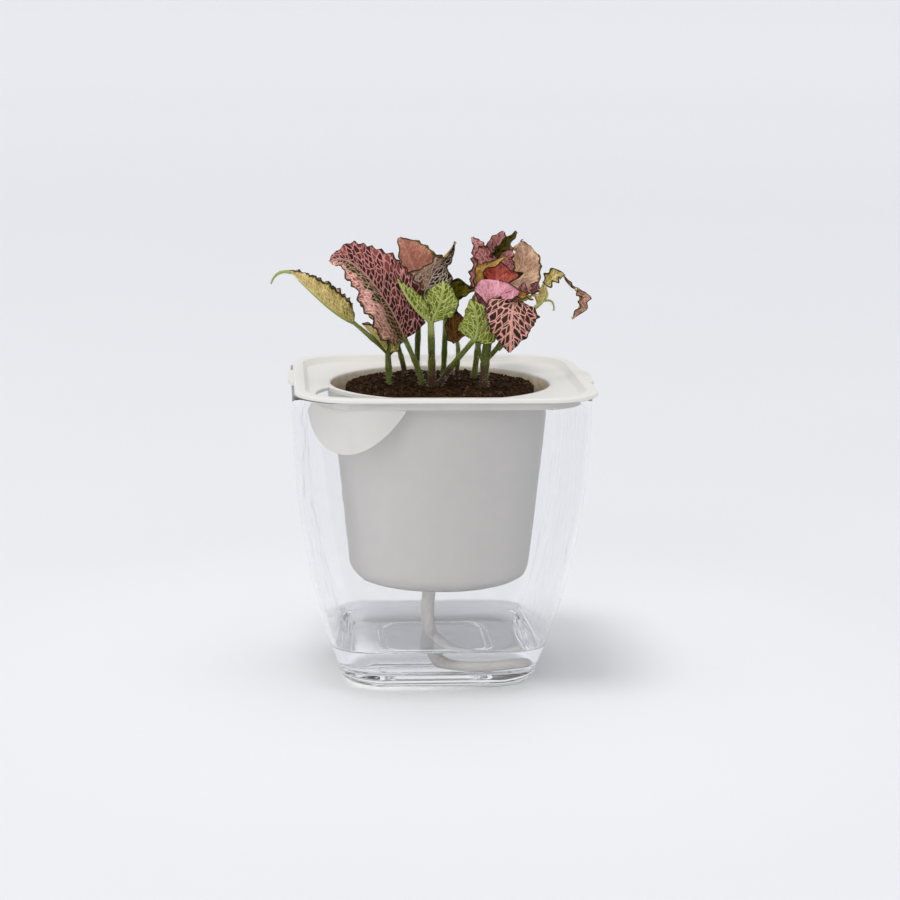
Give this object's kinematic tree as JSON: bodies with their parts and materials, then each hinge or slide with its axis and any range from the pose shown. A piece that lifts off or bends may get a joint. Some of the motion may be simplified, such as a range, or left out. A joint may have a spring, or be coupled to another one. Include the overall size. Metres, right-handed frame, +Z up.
{
  "type": "potted nerve plant",
  "caption": "Young nerve plant with pink and green net-veined leaves in a clear self-watering pot with a white lift-out insert, a cotton wick and a shallow pool of water.",
  "frame": {"origin": "bottom centre of the clear reservoir, on the surface that it stands on", "axes": "+Z up, front (the side that the picture shows) towards -Y, the fill hole in the front left corner at -X -Y"},
  "size_m": [0.1317, 0.12, 0.1817],
  "materials": {
    "clear_plastic": "clear, glossy",
    "water": "clear, glossy",
    "white_plastic": "satin",
    "cotton": "matt, fibrous",
    "soil": "matt, crumbly",
    "leaf_pink": "satin",
    "leaf_green": "satin"
  },
  "bodies": {
    "root": {"reservoir": "clear_plastic", "water": "water", "wick_tail": "cotton", "insert": "white_plastic", "soil": "soil", "wick_in_soil": "cotton", "shoot_a": "leaf_green", "shoot_b": "leaf_pink", "shoot_c": "leaf_green", "shoot_d": "leaf_green", "shoot_e": "leaf_green", "shoot_f": "leaf_pink", "shoot_g": "leaf_green", "shoot_h": "leaf_pink", "shoot_i": "leaf_pink"}
  },
  "joints": []
}
